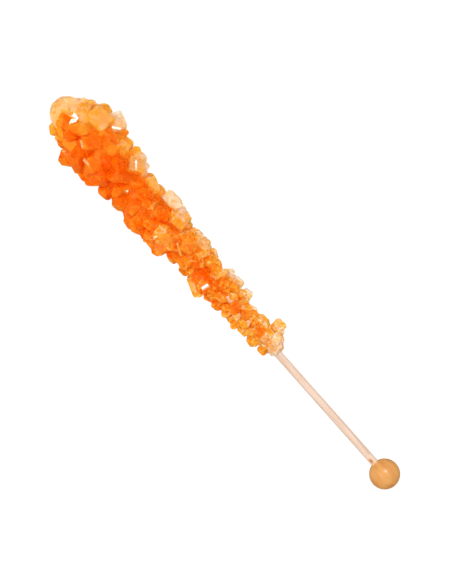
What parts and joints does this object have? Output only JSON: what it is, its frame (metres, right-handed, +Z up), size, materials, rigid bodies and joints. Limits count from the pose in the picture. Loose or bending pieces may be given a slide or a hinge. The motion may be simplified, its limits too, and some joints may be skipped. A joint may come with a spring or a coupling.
{
  "type": "rock candy stick",
  "caption": "Lollipop of coarse orange sugar crystals grown in a craggy club round a thin wooden dowel with a wooden ball at the bare end, lying on its side.",
  "frame": {"origin": "middle of the footprint, on the surface that the stick lies on", "axes": "+X along the stick from the ball to the tip of the sugar, +Y across it, +Z up from the surface"},
  "size_m": [0.1656, 0.0258, 0.0225],
  "materials": {
    "orange_sugar": "clear dyed sugar, glossy flat facets",
    "dowel_wood": "bare pale birch, sanded",
    "ball_wood": "honey-coloured wood with a thin varnish"
  },
  "bodies": {
    "root": {"sugar_crystals": "orange_sugar", "dowel": "dowel_wood", "ball": "ball_wood"}
  },
  "joints": []
}
